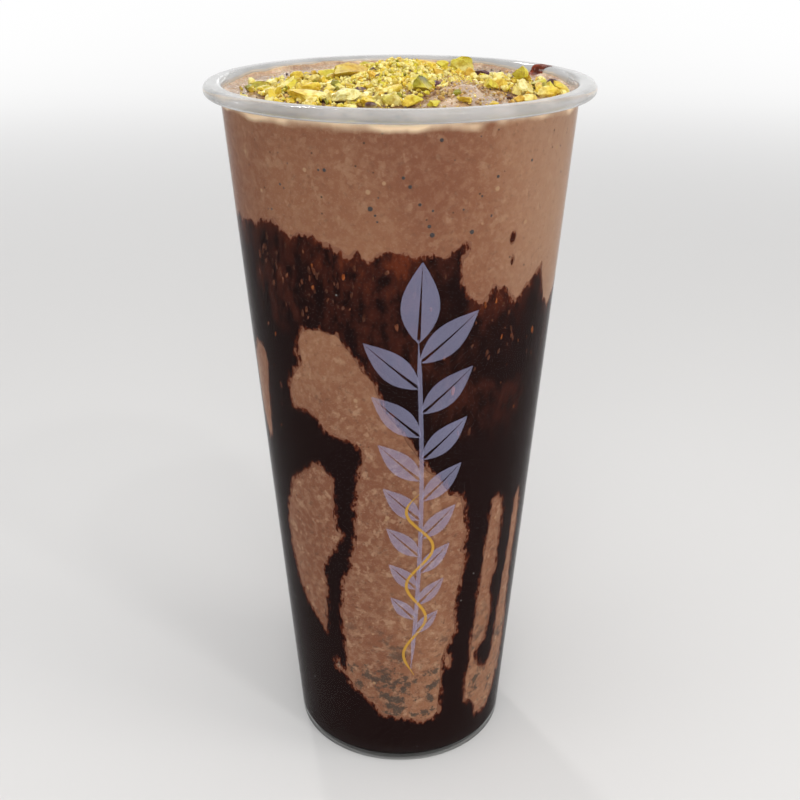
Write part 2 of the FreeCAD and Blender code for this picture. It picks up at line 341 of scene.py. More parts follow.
def plastic_see_through(nodes, body):
    """Lets light straight through, so that what is inside is lit evenly and cleanly."""
    clear = nodes.add("BsdfTransparent", {"Color": (0.95, 0.95, 0.95)}).outputs[0]
    return nodes.finish(nodes.blend(nodes.either_ray("Shadow", "Diffuse"), body, clear))


def wall_material():
    """Thin clear polypropylene, which shows hardly any reflection, so its IOR is low."""
    nodes = Nodes("clear_plastic")
    scuffs = nodes.noise(300, detail=3)
    clear = nodes.principled(
        # the foot's skirt is tinted dark by the painted shade, where the shade value is 1
        Base_Color=nodes.mix(nodes.value("shade"), CLEAR, FOOT_PAINTED_SHADE),
        Transmission_Weight=1.0, IOR=1.055,
        Roughness=nodes.spread(scuffs, 0.3, 0.7, 0.0, 0.02))
    milky = nodes.principled(Base_Color=RIM_TONE, Roughness=0.2, IOR=1.45)
    return plastic_see_through(nodes, nodes.blend(nodes.value("milk"), clear, milky))


def rim_material():
    """The thick rolled rim: milky, glossy and partly see-through."""
    nodes = Nodes("clear_plastic_rim")
    streaks = nodes.noise(60, detail=3, stretch=(1, 1, 2))
    clear = nodes.principled(Base_Color=RIM_CLEAR, Transmission_Weight=1.0, IOR=1.33,
                             Roughness=nodes.spread(streaks, 0.3, 0.7, 0.0, 0.06))
    milky = nodes.principled(
        Base_Color=nodes.mix(nodes.ramp(streaks, 0.35, 0.7), RIM_TONE, RIM_BRIGHT),
        Roughness=0.16, IOR=1.40, Transmission_Weight=0.25, Coat_Weight=0.3,
        Coat_Roughness=0.05, Normal=nodes.bump(streaks, 0.03, 0.0003))
    return plastic_see_through(nodes, nodes.blend(nodes.value("milk"), clear, milky))


FRAPPE_DARK = (0.205, 0.082, 0.046)
FRAPPE_LIGHT = (0.272, 0.124, 0.068)
FROTH = (0.86, 0.65, 0.43)
WET_TOP = (0.45, 0.270, 0.145)
WET_DEEP = (0.26, 0.140, 0.075)
PALE_GRAIN = (0.70, 0.56, 0.36)
# painted highlight: colour of the glints on the wet top
PAINTED_GLINT = (0.93, 0.90, 0.86)
LIGHT_FLECK = (0.50, 0.32, 0.20)
PAINTED_RIGHT_LIGHT = (0.46, 0.30, 0.20)         # painted light: paler towards the right and higher up, where the lamps light the drink more
DARK_FLECK = (0.085, 0.050, 0.034)
PALE_DOT = (0.37, 0.22, 0.125)
SMUDGE = (0.055, 0.046, 0.038)    # of the coarse smudges, which lie only near the foot

# Grain of the drink: (bumps per metre, detail, roughness, from, to, how much of it near the
# top and low down, colour).
FRAPPE_GRAIN = [(520, 5, 0.70, 0.42, 0.66, 0.16, 0.28, LIGHT_FLECK),
                (330, 4, 0.62, 0.575, 0.645, 0.17, 0.40, LIGHT_FLECK),
                (800, 4, 0.65, 0.57, 0.66, 0.22, 0.42, DARK_FLECK)]


def frappe_material():
    """Blended drink against the wall: smooth above, with flecks and smudges lower down, and
    painted light making it paler at the right.
    """
    nodes = Nodes("frappe")
    across, _, height = nodes.add("SeparateXYZ", {"Vector": nodes.place()}).outputs
    low = nodes.ramp(height, 0.150, 0.090)
    clouds = nodes.ramp(nodes.noise(26, detail=2, stretch=(1, 1, 0.55)), 0.34, 0.66)
    colour = nodes.mix(clouds, FRAPPE_DARK, FRAPPE_LIGHT)
    # painted light: the drink is made paler towards the right and higher up, by position
    painted_right_light = nodes.times(nodes.ramp(across, 0.016, 0.044), nodes.ramp(height, 0.08, 0.13))
    colour = nodes.mix(nodes.times(painted_right_light, 0.55), colour, PAINTED_RIGHT_LIGHT)
    grains = []
    for scale, detail, roughness, start, end, above, below, tone in FRAPPE_GRAIN:
        grains.append(nodes.ramp(nodes.noise(scale, detail, roughness=roughness), start, end))
        amount = nodes.spread(low, 0, 1, above, below)
        colour = nodes.mix(nodes.times(grains[-1], amount), colour, tone)
    smudges = nodes.ramp(nodes.noise(210, detail=6, roughness=0.72), 0.515, 0.60)
    lowest = nodes.times(nodes.ramp(height, 0.062, 0.026), 0.85)
    colour = nodes.mix(nodes.times(smudges, lowest), colour, SMUDGE)
    colour = nodes.mix(nodes.dots(280, 0.19, 0.14), colour, PALE_DOT)
    colour = nodes.mix(nodes.dots(520, 0.16, 0.10), colour, DARK_FLECK)
    colour = nodes.mix(nodes.value("froth"), colour, FROTH)
    return nodes.finish(nodes.principled(
        Base_Color=colour, Roughness=0.45, IOR=1.36, Specular_IOR_Level=0.1,
        Subsurface_Weight=0.2, Subsurface_Radius=(0.003, 0.0015, 0.0008),
        Subsurface_Scale=0.5, Normal=nodes.bump(grains[0], 0.1, 0.0003)))


def frappe_top_material():
    """Wet, icy top of the drink, with painted glints and darker patches at random."""
    nodes = Nodes("frappe_top")
    clouds = nodes.ramp(nodes.noise(150, detail=4, roughness=0.6), 0.40, 0.66)
    colour = nodes.mix(clouds, WET_DEEP, WET_TOP)
    grains = nodes.noise(900, detail=4, roughness=0.6)
    colour = nodes.mix(nodes.times(nodes.ramp(grains, 0.50, 0.72), 0.5), colour, PALE_GRAIN)
    colour = nodes.mix(nodes.dots(700, 0.22, 0.10), colour, DARK_FLECK)
    # painted highlight: small near-white dots as glints of light on the ice
    colour = nodes.mix(nodes.dots(480, 0.14, 0.22), colour, PAINTED_GLINT)
    colour = nodes.mix(nodes.value("froth"), colour, FROTH)
    return nodes.finish(nodes.principled(
        Base_Color=colour, Roughness=nodes.spread(grains, 0.35, 0.65, 0.12, 0.4), IOR=1.36,
        Subsurface_Weight=0.3, Subsurface_Radius=(0.004, 0.002, 0.001),
        Subsurface_Scale=0.6, Coat_Weight=0.6, Coat_Roughness=0.06,
        Normal=nodes.bump(grains, 0.7, 0.0005)))


SAUCE_DEEP = (0.0110, 0.0046, 0.0042)
SAUCE_MID = (0.040, 0.011, 0.007)
SAUCE_THIN = (0.120, 0.026, 0.011)
# painted highlight: colour of the glints on the syrup
SAUCE_PAINTED_GLINT = (0.22, 0.21, 0.21)
SAUCE_FRAY = (0.205, 0.092, 0.055)   # the frappe's colour, where the sauce ends in specks


def sauce_material():
    """Chocolate syrup: near black, red-brown where it thins out, with streaky flecks and painted
    glints.
    """
    nodes = Nodes("chocolate_sauce")
    grain = nodes.noise(330, detail=4, stretch=(1, 1, 0.5), roughness=0.6)
    fine = nodes.noise(850, detail=4, stretch=(1, 1, 0.5), roughness=0.65)
    frayed = nodes.math("ADD", nodes.value("edge"),
                        nodes.spread(fine, 0.35, 0.65, -0.80, 0.80))
    mottled = nodes.times(nodes.value("thin"), nodes.spread(grain, 0.35, 0.65, 0.0, 1.9))
    reddish = nodes.math("MAXIMUM", mottled, nodes.spread(frayed, 0.5, 1.5, 1.5, 0.0))
    colour = nodes.mix(nodes.ramp(reddish, 0.0, 0.7), SAUCE_DEEP, SAUCE_MID)
    colour = nodes.mix(nodes.ramp(reddish, 0.6, 1.6), colour, SAUCE_THIN)
    # painted highlight: a few pale dots as glints on the syrup
    colour = nodes.mix(nodes.dots(620, 0.16, 0.02), colour, SAUCE_PAINTED_GLINT)
    colour = nodes.mix(nodes.ramp(frayed, 0.42, 0.62), SAUCE_FRAY, colour)
    return nodes.finish(nodes.principled(
        Base_Color=colour, Roughness=0.35, IOR=1.45, Specular_IOR_Level=0.02,
        Normal=nodes.bump(grain, 0.1, 0.0002)))


def nut_material(name, crumbs=False):
    """Chopped pistachio; each piece brings its own colour on its points."""
    nodes = Nodes(name)
    own = nodes.value("tint", "Color")
    grain = nodes.noise(1300 if crumbs else 900, detail=4, roughness=0.6)
    darker = nodes.mix(1.0, own, (0.74, 0.62, 0.34), "MULTIPLY")
    colour = nodes.mix(nodes.ramp(grain, 0.42, 0.66), own, darker)
    return nodes.finish(nodes.principled(
        Base_Color=colour, Roughness=0.40, IOR=1.45, Subsurface_Weight=0.15,
        Subsurface_Radius=(0.0012, 0.0010, 0.0003), Subsurface_Scale=0.6,
        Coat_Weight=0.2, Coat_Roughness=0.2, Normal=nodes.bump(grain, 0.4, 0.0003)))


def tinted_material(name):
    """Soft material for small bits that bring their own colour."""
    nodes = Nodes(name)
    own = nodes.value("tint", "Color")
    grain = nodes.noise(1200, detail=3)
    darker = nodes.mix(1.0, own, (0.6, 0.5, 0.5), "MULTIPLY")
    return nodes.finish(nodes.principled(
        Base_Color=nodes.mix(nodes.ramp(grain, 0.4, 0.62), own, darker), Roughness=0.5,
        Specular_IOR_Level=0.03, Normal=nodes.bump(grain, 0.1, 0.0001)))


def simple_material(name, colour, roughness, vary=0.15, scale=400, **more):
    """Material of one colour with a little cloudiness, for small pieces."""
    nodes = Nodes(name)
    darker = tuple(part * (1 - vary) for part in colour)
    clouds = nodes.ramp(nodes.noise(scale, detail=3), 0.35, 0.65)
    return nodes.finish(nodes.principled(
        Base_Color=nodes.mix(clouds, colour, darker), Roughness=roughness,
        Normal=nodes.bump(clouds, 0.15, 0.0002), **more))


def ink_material(name, colour, cover):
    """Thin print on the cup that lets part of what is behind it through."""
    nodes = Nodes(name)
    ink = nodes.principled(Base_Color=colour, Roughness=0.35, IOR=1.45,
                           Normal=nodes.bump(nodes.noise(1200), 0.1, 0.0001))
    clear = nodes.add("BsdfTransparent").outputs[0]
    patchy = nodes.spread(nodes.noise(60), 0.3, 0.7, 0.88 * cover, min(1.0, 1.12 * cover))
    return nodes.finish(nodes.blend(patchy, clear, ink))


# ================================================================ cup
CUP_COLUMNS = 240
ROW_LENGTH = 6                    # millimetres between its rows, where nothing bends


def make_cup():
    """Cup turned from its section, with a step under the rim and a rolled lip."""
    wall_top = HEIGHT - RIM_ROLL
    foot_inner = inside_radius(0) + WALL - FOOT_WIDTH
    profile = rounded([
        (0, FOOT_RECESS, 0),
        (foot_inner, FOOT_RECESS, 0.5),
        (foot_inner, 0, 0.4),
        (inside_radius(0) + WALL, 0, FOOT_ROUND),
        (inside_radius(wall_top) + WALL, wall_top, 0.5),
        (RIM_RADIUS, wall_top, RIM_BEND),
        (RIM_RADIUS, HEIGHT, RIM_BEND),
        (inside_radius(HEIGHT), HEIGHT, RIM_BEND),
        (inside_radius(FLOOR), FLOOR, FLOOR_ROUND),
        (0, FLOOR, 0),
    ])
    dense = []
    for start, end in zip(profile, profile[1:]):
        length = np.linalg.norm(end - start)
        shares = np.linspace(0, 1, max(1, int(length / ROW_LENGTH)) + 1)
        if length > 20:             # the wall: finer rows where the rim and the foot begin
            near = np.arange(0, 4, 0.7) / length
            shares = np.sort(np.concatenate([shares, near[1:], 1 - near[1:]]))
        dense += [start + (end - start) * share for share in shares[:-1]]
    points, faces = turned(dense + [profile[-1]], CUP_COLUMNS)
    height = points[:, 2]
    radius = np.hypot(points[:, 0], points[:, 1])
    rim = np.clip((height - wall_top + 0.7) / 0.7, 0, 1)
    base = np.clip(1 - height / 9.0, 0, 1) * (radius > foot_inner - 1)
    milk = np.maximum(0.60 * rim, 0.002 + 0.05 * base ** 2)
    milk = milk * (1 + 0.08 * smooth_noise(points, 7.0, seed=3))
    # where the painted shade darkens the foot's skirt: from just above its bottom edge up to the
    # floor
    shade = np.clip((height - 0.5) / 0.6, 0, 1) * np.clip((FLOOR + 1.6 - height) / 1.2, 0, 1)
    cup = make_piece("cup_clear_plastic", points, faces, wall_material(),
                     values={"milk": np.clip(milk, 0, 1), "shade": shade})
    cup.data.materials.append(rim_material())
    cup.data.polygons.foreach_set("material_index", [
        int(min(height[corner] for corner in face) > wall_top - 0.3) for face in faces])
    cup.data.set_sharp_from_angle(angle=math.radians(40))
    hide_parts("cup")
    return cup


# ================================================================ frappe
FRAPPE_COLUMNS = 360
TOP_RINGS = 84
TOP_SHRINK = 0.985                # keeps the search for the top inside the CAD frappe
FROTH_DEPTH = 2.3                 # how far down the froth line shows through the wall
LUMP_AT = (14.0, -7.0)            # wet lump right of the middle
LUMP_REACH = (8.5, 14.0)
LUMP_RISE = 1.5
CLING_TOP = HEIGHT - 0.7          # highest that the drink clings to the wall


def lump_at(x, y):
    """1 in the middle of the wet lump, falling to 0 around it."""
    return np.exp(-((x - LUMP_AT[0]) / LUMP_REACH[0]) ** 2
                  - ((y - LUMP_AT[1]) / LUMP_REACH[1]) ** 2)


def make_frappe():
    """The drink as one closed piece that reaches just into the wall."""
    tree = tree_of(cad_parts["frappe"])
    turn = np.linspace(0, 2 * math.pi, FRAPPE_COLUMNS, endpoint=False)
    reach = inside_radius(TOP_AT) + INTO_WALL + 0.3
    top = np.concatenate([around(turn, reach * ring / TOP_RINGS, 0)
                          for ring in range(1, TOP_RINGS + 1)])
    heights = np.array([top_height(tree, x, y, TOP_AT) for x, y, _ in top * TOP_SHRINK])
    lump = lump_at(top[:, 0], top[:, 1])
    relief = 0.22 * layered_noise(top, 5.0, 4, seed=5) + 0.12 * layered_noise(top, 1.4, 2, seed=9)
    heights += relief * (1 + 2.8 * lump) + LUMP_RISE * lump
    radius = np.hypot(top[:, 0], top[:, 1])
    cling = np.clip((radius - reach + 1.6) / 1.6, 0, 1)
    wall_wave = 0.45 + 0.5 * smooth_noise(top, 9.0, seed=12) + 0.2 * smooth_noise(top, 3.0, 13)
    wall_wave += 1.1 * np.clip((top[:, 1] + 12) / 40, 0, 1)
    heights += cling ** 2 * wall_wave
    top[:, 2] = np.minimum(heights, np.maximum(CLING_TOP, heights - 3 * cling))
    contact = top[-FRAPPE_COLUMNS:, 2]
    bottom = FLOOR + 1.0
    levels = [contact - depth for depth in np.arange(0.25, 3.1, 0.25)]
    levels += [levels[-1] + (bottom - levels[-1]) * share for share in np.linspace(0, 1, 90)[1:]]
    sides = [around(turn, inside_radius(level) + INTO_WALL, level) for level in levels]
    middle = top_height(tree, 0.0, 0.0, TOP_AT)
    points = np.concatenate([top] + sides + [[[0, 0, middle], [0, 0, bottom]]])
    rows = TOP_RINGS + len(sides)
    centre = rows * FRAPPE_COLUMNS
    faces = [face[::-1] for face in ring_faces(rows, FRAPPE_COLUMNS)
             + fan(centre, 0, FRAPPE_COLUMNS)]
    faces += fan(centre + 1, centre - FRAPPE_COLUMNS, FRAPPE_COLUMNS)
    on_top = np.arange(len(points)) < len(top)
    on_top[centre] = True
    below = np.full(len(points), 99.0)
    below[len(top) - FRAPPE_COLUMNS:centre] = np.concatenate(
        [contact - level for level in [contact] + levels])
    froth = np.clip(1 - below / FROTH_DEPTH, 0, 1)
    froth = np.clip(froth * (1.35 + 1.5 * layered_noise(points, 8.0, 3, seed=21)), 0, 1)
    froth[:len(top) - FRAPPE_COLUMNS] = 0.08
    froth[:len(top)] += 0.5 * np.clip(smooth_noise(top, 3.0, seed=22), 0, 1)
    piece = make_piece("frappe_drink", points, faces, frappe_material(),
                       values={"froth": np.clip(froth, 0, 1)})
    piece.data.materials.append(frappe_top_material())
    piece.data.polygons.foreach_set("material_index", [
        int(all(on_top[corner] for corner in face)) for face in faces])
    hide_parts("frappe")
    return piece


# ================================================================ sauce
# Upper edge of the sauce: (angle, height).
SAUCE_EDGE = [
    (-78, 154), (-70, 155), (-66, 154), (-58, 155), (-50, 156.5), (-47, 157), (-42, 155.5),
    (-38.5, 154), (-37, 153.5), (-35, 155), (-30, 155.5), (-28, 154), (-25, 154),
    (-20, 153.5), (-17.5, 152), (-13.5, 153), (-12.5, 151.5), (-10, 150.5), (-7.5, 151.5),
    (-4, 153.5), (-1, 152), (1, 152.7), (4.5, 151), (8.5, 153), (14, 151), (18, 153.5),
    (21.5, 154.5), (21.9, 152), (20.2, 151), (20.4, 147), (23, 141), (28.8, 139.8),
    (33, 142.5), (35.5, 141.7), (37.6, 142), (42, 138), (44.5, 137), (48.6, 140),
    (54, 142.5), (57.5, 144.5), (60, 139), (63, 135), (69, 132), (74, 133.5), (80, 136),
    (88, 140), (97, 146), (104, 149), (112, 147), (120, 151), (128, 143), (136, 146),
    (146, 154), (154, 152), (160, 157), (168, 151), (174, 150), (182, 156), (188, 155),
    (196, 149), (204, 146), (212, 152), (220, 153), (230, 158), (238, 157), (246, 151),
    (254, 152), (262, 155), (268, 156), (275, 153),
]

# Windows in the sauce where the frappe shows: closed outlines of (angle, height).
FRAPPE_WINDOWS = [
    [   # large one in front, with its branch to the upper left
        (-29.4, 132), (-33.2, 132.8), (-36.2, 131.8), (-39, 129.4), (-39.6, 125.8),
        (-38.9, 122.6), (-43.7, 118.3), (-46, 114.4), (-45, 109.8),
        (-35, 109.8), (-29, 105.3), (-17, 103.4), (-13.5, 100.3), (-17, 93.4), (-18, 87.5),
        (-18.6, 80), (-20, 72), (-22.3, 69), (-22, 66), (-26.8, 60), (-27.2, 54),
        (-28.6, 50), (-28, 44), (-27.6, 36), (-29, 29.3), (-25, 25.6), (-18.4, 23),
        (-13, 20.2), (-10, 17), (-0.4, 16), (4, 16), (13, 14), (21, 16), (20.7, 23),
        (21, 35), (22.4, 38.6), (27, 44), (26.5, 52), (28.5, 61.4), (30, 69.5),
        (27.5, 70.6), (29.7, 76), (27.5, 82.7), (26, 87.4), (21, 88.3), (17, 93.7),
        (11.2, 96.8), (0.5, 108.4), (-5, 113.5), (-9, 120.5), (-11.4, 122.4), (-14, 125),
        (-16.5, 127.9), (-20, 130.6), (-22.6, 132.4), (-25.8, 132.4),
    ],
    [   # lower left
        (-34.6, 95.7), (-44, 91), (-50.5, 87.4), (-55.7, 80), (-58.5, 74), (-59.3, 64.6),
        (-55.4, 55.5), (-48.4, 47.8), (-41.7, 44), (-38.6, 41.5), (-37.3, 43.7), (-36.7, 52),
        (-35.3, 59), (-36.8, 63), (-31.4, 69), (-24.5, 75.6), (-28, 77), (-27.6, 83),
        (-28, 88.5), (-28, 92),
    ],
    [   # lower right, on both sides of a hanging drip
        (44, 84.5), (41.7, 82), (41.4, 74), (40.6, 66), (38.8, 54.7), (38.3, 45.5),
        (37.4, 32.6), (35, 26), (36.6, 18), (44.7, 14), (45.8, 10), (55, 9.5), (60, 14),
        (66, 21), (68, 34), (66, 48), (65.3, 62), (66.5, 72), (66, 79.5), (62.5, 82),
        (59.5, 79), (59.6, 66.5), (57.8, 55.7), (56.3, 45), (55.7, 34.5), (54, 28.6),
        (50, 26.4), (45.5, 27.6), (41.8, 30.5), (41.3, 34), (47, 37.3), (49.7, 48),
        (47.2, 54.7), (49.8, 61.4), (49.6, 70.4), (50.5, 78), (48, 83),
    ],
    [(-35.6, 32.3), (-32, 33.6), (-29.6, 31.3), (-31, 29.2), (-34.3, 29.8)],
    [(22.2, 36.2), (25.2, 36.6), (26, 34), (24.6, 32.2), (22.5, 33)],
    [(-62, 122), (-60, 118), (-63, 110), (-65, 97), (-70, 95), (-76, 104), (-78, 116),
     (-70, 123)],
    [(-95, 72), (-98, 60), (-94, 44), (-97, 30), (-91, 21), (-84, 30), (-87, 46), (-83, 60),
     (-88, 74)],
    [(100, 120), (91, 106), (90, 90), (93, 74), (89, 56), (90, 38), (96, 24), (104, 20),
     (112, 22), (117, 36), (115, 54), (119, 70), (123, 88), (119, 102), (113, 114)],
    [(150, 134), (141, 124), (138, 108), (141, 90), (137, 70), (136, 50), (140, 34),
     (150, 25), (161, 25), (167, 36), (165, 56), (168, 74), (174, 90), (172, 108), (163, 124)],
    [(189, 106), (183, 94), (185, 76), (182, 58), (181, 42), (187, 28), (194, 32), (197, 50),
     (195, 66), (199, 84), (195, 98)],
    [(226, 126), (216, 114), (216, 96), (217, 78), (212, 60), (213, 42), (220, 28), (232, 22),
     (243, 28), (247, 44), (245, 62), (249, 80), (246, 98), (237, 114)],
]

# Drops of sauce above its edge: (angle, height, half width, half height).
SAUCE_DROPS = [(39.3, 154.0, 0.7, 1.2), (40.2, 148.6, 0.6, 1.0), (60.0, 163.0, 0.4, 0.7),
               (205.0, 158.0, 0.8, 1.4), (118.0, 160.0, 0.6, 1.2)]


def outline_distance(angles, heights, outline):
    """Distance in millimetres, along the wall, from points to a line of (angle, height)."""
    nearest = np.full(angles.shape, 1e9)
    per_degree = inside_radius(heights) * math.pi / 180
    for (a0, z0), (a1, z1) in zip(outline, outline[1:]):
        off = (angles - (a0 + a1) / 2 + 180) % 360 - 180
        along, up = off * per_degree, heights - (z0 + z1) / 2
        du, dv = (a1 - a0) / 2 * per_degree, (z1 - z0) / 2
        share = np.clip((along * du + up * dv) / np.maximum(du * du + dv * dv, 1e-9), -1, 1)
        nearest = np.minimum(nearest, np.hypot(along - share * du, up - share * dv))
    return nearest


def inside_outline(angles, heights, outline):
    """True where points lie inside a closed outline of (angle, height)."""
    inside = np.zeros(angles.shape, bool)
    for (a0, z0), (a1, z1) in zip(outline, outline[1:]):
        if z0 != z1:
            crosses = (heights > min(z0, z1)) & (heights <= max(z0, z1))
            inside ^= crosses & (angles < a0 + (heights - z0) * (a1 - a0) / (z1 - z0))
    return inside


def sauce_depth(angles, heights):
    """Distance in millimetres from the edge of the sauce, positive inside it."""
    first = SAUCE_EDGE[0][0]
    edge = SAUCE_EDGE + [(first + 360, SAUCE_EDGE[0][1])]
    under = inside_outline((angles - first) % 360 + first, heights,
                           [(first, -50.0)] + edge + [(first + 360, -50.0), (first, -50.0)])
    depth = outline_distance(angles, heights, edge)
    depth = np.where(under, depth, -depth)
    for angle, height, half_width, half_height in SAUCE_DROPS:
        along = (angles - angle) * inside_radius(heights) * math.pi / 180
        away = np.hypot(along / half_width, (heights - height) / half_height)
        depth = np.maximum(depth, (1 - away) * 2.5 * half_width)
    for outline in FRAPPE_WINDOWS:
        outline = outline + outline[:1]
        middle = np.mean([angle for angle, _ in outline[1:]])
        here = (angles - middle + 180) % 360 - 180 + middle
        away = outline_distance(angles, heights, outline)
        away = np.where(inside_outline(here, heights, outline), -away, away)
        depth = np.minimum(depth, away)
    return depth


def ragged(depth, points, heights):
    """Roughen the sauce's edge: feathery near its upper edge, softer round the windows."""
    streaks = points * [1, 1, 0.42]
    upper = np.clip((heights - 118) / 25, 0, 1)
    rough = (0.35 + 0.45 * upper) * layered_noise(streaks, 3.2, 3, seed=31)
    rough += (0.25 + 0.35 * upper) * smooth_noise(streaks, 1.1, seed=41)
    return depth + rough


def cut_to_inside(points, faces, depth):
    """Part of a triangle mesh where depth is positive, cut cleanly along its edge."""
    points, depth = list(points), list(depth)
    made = {}

    def crossing(one, two):
        """Point where depth is 0 between two points."""
        key = (min(one, two), max(one, two))
        if key not in made:
            share = min(max(depth[one] / (depth[one] - depth[two]), 0.02), 0.98)
            made[key] = len(points)
            points.append(points[one] + (points[two] - points[one]) * share)
            depth.append(0.0)
        return made[key]

    kept = []
    for face in faces:
        ring = []
        for corner, after in zip(face, face[1:] + face[:1]):
            if depth[corner] > 0:
                ring.append(corner)
            if (depth[corner] > 0) != (depth[after] > 0):
                ring.append(crossing(corner, after))
        kept += [(ring[0], *pair) for pair in zip(ring[1:], ring[2:])]
    return np.array(points), kept, np.array(depth)


FRONT_STEP = 1.25                 # degrees between columns of the sauce, within sight
BACK_STEP = 2.0
ROW_STEP = 0.8                    # millimetres between its rows
FRONT_HALF = 100.0
POOL_DEEP = 6.3                   # depth of the pool of sauce on the floor


def sauce_grid():
    """Angles of the columns, which meet again behind, and heights of the rows."""
    front = np.arange(-FRONT_HALF, FRONT_HALF, FRONT_STEP)
    back = np.arange(FRONT_HALF, 360 - FRONT_HALF, BACK_STEP)
    top = max(height for _, height in SAUCE_EDGE) + 3
    return (np.concatenate([front, back, [360 - FRONT_HALF]]),
            np.arange(FLOOR + 0.2, top, ROW_STEP))


def make_sauce():
    """Streaky film on the wall with a thick body, and the pool on the floor."""
    columns, rows = sauce_grid()
    angles, heights = (grid.ravel() for grid in np.meshgrid(columns, rows))
    depth = ragged(sauce_depth(angles, heights), on_wall(angles, heights), heights) + EDGE_FRAY
    depth = np.where(heights < 8, np.maximum(depth, 1.0), depth)
    faces = []
    for one, two, three, four in ring_faces(len(rows), len(columns), closed=False):
        faces += [(one, two, three), (one, three, four)]
    flat, kept, depth = cut_to_inside(np.stack([angles, heights], -1), faces, depth)
    # The first and the last column are one, and points left unused go.
    used = np.unique(np.array(kept).ravel())
    spots = np.round(flat[used] + [FRONT_HALF, 0], 4) % [360, 1e6]
    _, first, same = np.unique(spots, axis=0, return_index=True, return_inverse=True)
    renumber = dict(zip(used.tolist(), same.ravel().tolist()))
    kept = [tuple(renumber[corner] for corner in face) for face in kept]
    (angles, heights), depth = flat[used[first]].T, depth[used[first]]
    thick = np.clip(depth / 1.5, 0, 1) ** 0.5
    outer = on_wall(angles, heights, out=SAUCE_INTO_WALL - 0.165 * (1 - thick))
    inner = on_wall(angles, heights, out=-0.15 - (SAUCE_FILM - 0.15) * thick)
    points, faces = closed_sheet(outer, inner, kept)
    wall = on_wall(angles, heights)
    upper = np.clip((heights - 92) / 30, 0, 1)
    patches = smooth_noise(wall, 26.0, seed=51)
    under_top = np.interp((angles - SAUCE_EDGE[0][0]) % 360 + SAUCE_EDGE[0][0],
                          *zip(*SAUCE_EDGE)) - heights
    thin = 1.0 * np.exp(-np.maximum(under_top, 0) / 9.0) * (0.65 + 0.5 * patches)
    thin += 0.40 * upper * np.clip(smooth_noise(wall, 14.0, seed=52) * 2, 0, 1)
    bends = np.radians(np.arange(0, 91, CORNER_STEP))
    pool_profile = [(0, FLOOR + 0.02)]
    pool_profile += [(inside_radius(FLOOR) - FLOOR_ROUND * (1 - math.sin(bend)),
                      FLOOR + FLOOR_ROUND * (1 - math.cos(bend))) for bend in bends]
    pool_profile += [(inside_radius(FLOOR + POOL_DEEP) - 0.3, FLOOR + POOL_DEEP),
                     (0, FLOOR + POOL_DEEP)]
    pool_points, pool_faces = turned(pool_profile, 120)
    faces += [tuple(corner + len(points) for corner in face) for face in pool_faces]
    blank = np.zeros(len(pool_points))
    piece = make_piece(
        "chocolate_sauce_streaks", np.concatenate([points, pool_points]), faces,
        sauce_material(), values={"thin": np.concatenate([thin, thin, blank]),
                                  "edge": np.concatenate([depth, depth, blank + 5])})
    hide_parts("chocolate_sauce")
    return piece


# ================================================================ flecks in the sauce
# Where the frappe shows through the sauce: (angle, height, spread of each, how many).
FLECK_GROUPS = [(-45, 148, 9, 6, 30), (-27, 143, 8, 6, 26), (-10, 143, 6, 4, 8),
                (10, 141, 8, 4, 5), (36, 132, 6, 5, 16), (50, 122, 8, 9, 14),
                (30, 116, 10, 9, 8), (-52, 122, 8, 9, 10), (150, 143, 25, 6, 36),
                (235, 145, 25, 6, 36), (95, 130, 15, 8, 20)]
FLECK_DULL = (0.085, 0.031, 0.018)
FLECK_BROWN = (0.150, 0.052, 0.026)
FLECK_ORANGE = (0.300, 0.085, 0.022)


def make_flecks():
    """Small upright flecks of frappe caught in the film of sauce."""
    rng = np.random.default_rng(7)
    flecks = Scatter(2)
    for angle, height, spread, rise, count in FLECK_GROUPS:
        for _ in range(count):
            a, z = rng.normal(angle, spread), rng.normal(height, rise)
            if sauce_depth(np.array([a]), np.array([z]))[0] < 0.8:
                continue
            half = rng.uniform(0.25, 0.55) * np.array([1, 0.35, rng.uniform(1.2, 3.0)])
            tone = [FLECK_DULL, FLECK_BROWN, FLECK_ORANGE][rng.choice(3, p=[0.5, 0.37, 0.13])]
            shape = chopped(flecks.template, rng, 1.0, 6) * half
            shape = tilted(shape, (0, math.radians(rng.uniform(-14, 14)), math.radians(a)))
            centre = on_wall(a, z, out=SAUCE_INTO_WALL - 0.02)
            flecks.add(shape + centre, np.array(tone) * rng.uniform(0.75, 1.2))
    piece = flecks.piece("sauce_flecks", tinted_material("sauce_fleck"))
    return piece


# ================================================================ nuts
PALE = (0.83, 0.73, 0.26)
YELLOW = (0.72, 0.54, 0.055)
LIME = (0.63, 0.54, 0.045)
GREEN = (0.27, 0.255, 0.012)
GOLDEN = (0.68, 0.44, 0.05)
SKIN = (0.085, 0.028, 0.040)


def turn_matrix(rng):
    """Random rotation."""
    matrix, _ = np.linalg.qr(rng.normal(size=(3, 3)))
    return matrix * np.sign(np.linalg.det(matrix))


def unit_vector(rng):
    """Random direction."""
    direction = rng.normal(size=3)
    return direction / np.linalg.norm(direction)


def chopped(template, rng, size, cuts, rough=0.10):
    """Bit of nut: a rounded lump with flat faces where it was chopped."""
    points = template.copy()
    for _ in range(cuts):
        normal = unit_vector(rng)
        over = np.maximum(points @ normal - rng.uniform(0.34, 0.78), 0)
        points -= np.outer(over, normal)
    bumps = layered_noise(template + rng.uniform(0, 50, 3), 0.7, 2, int(rng.integers(999)))
    return points * (1 + rough * bumps)[:, None] * size


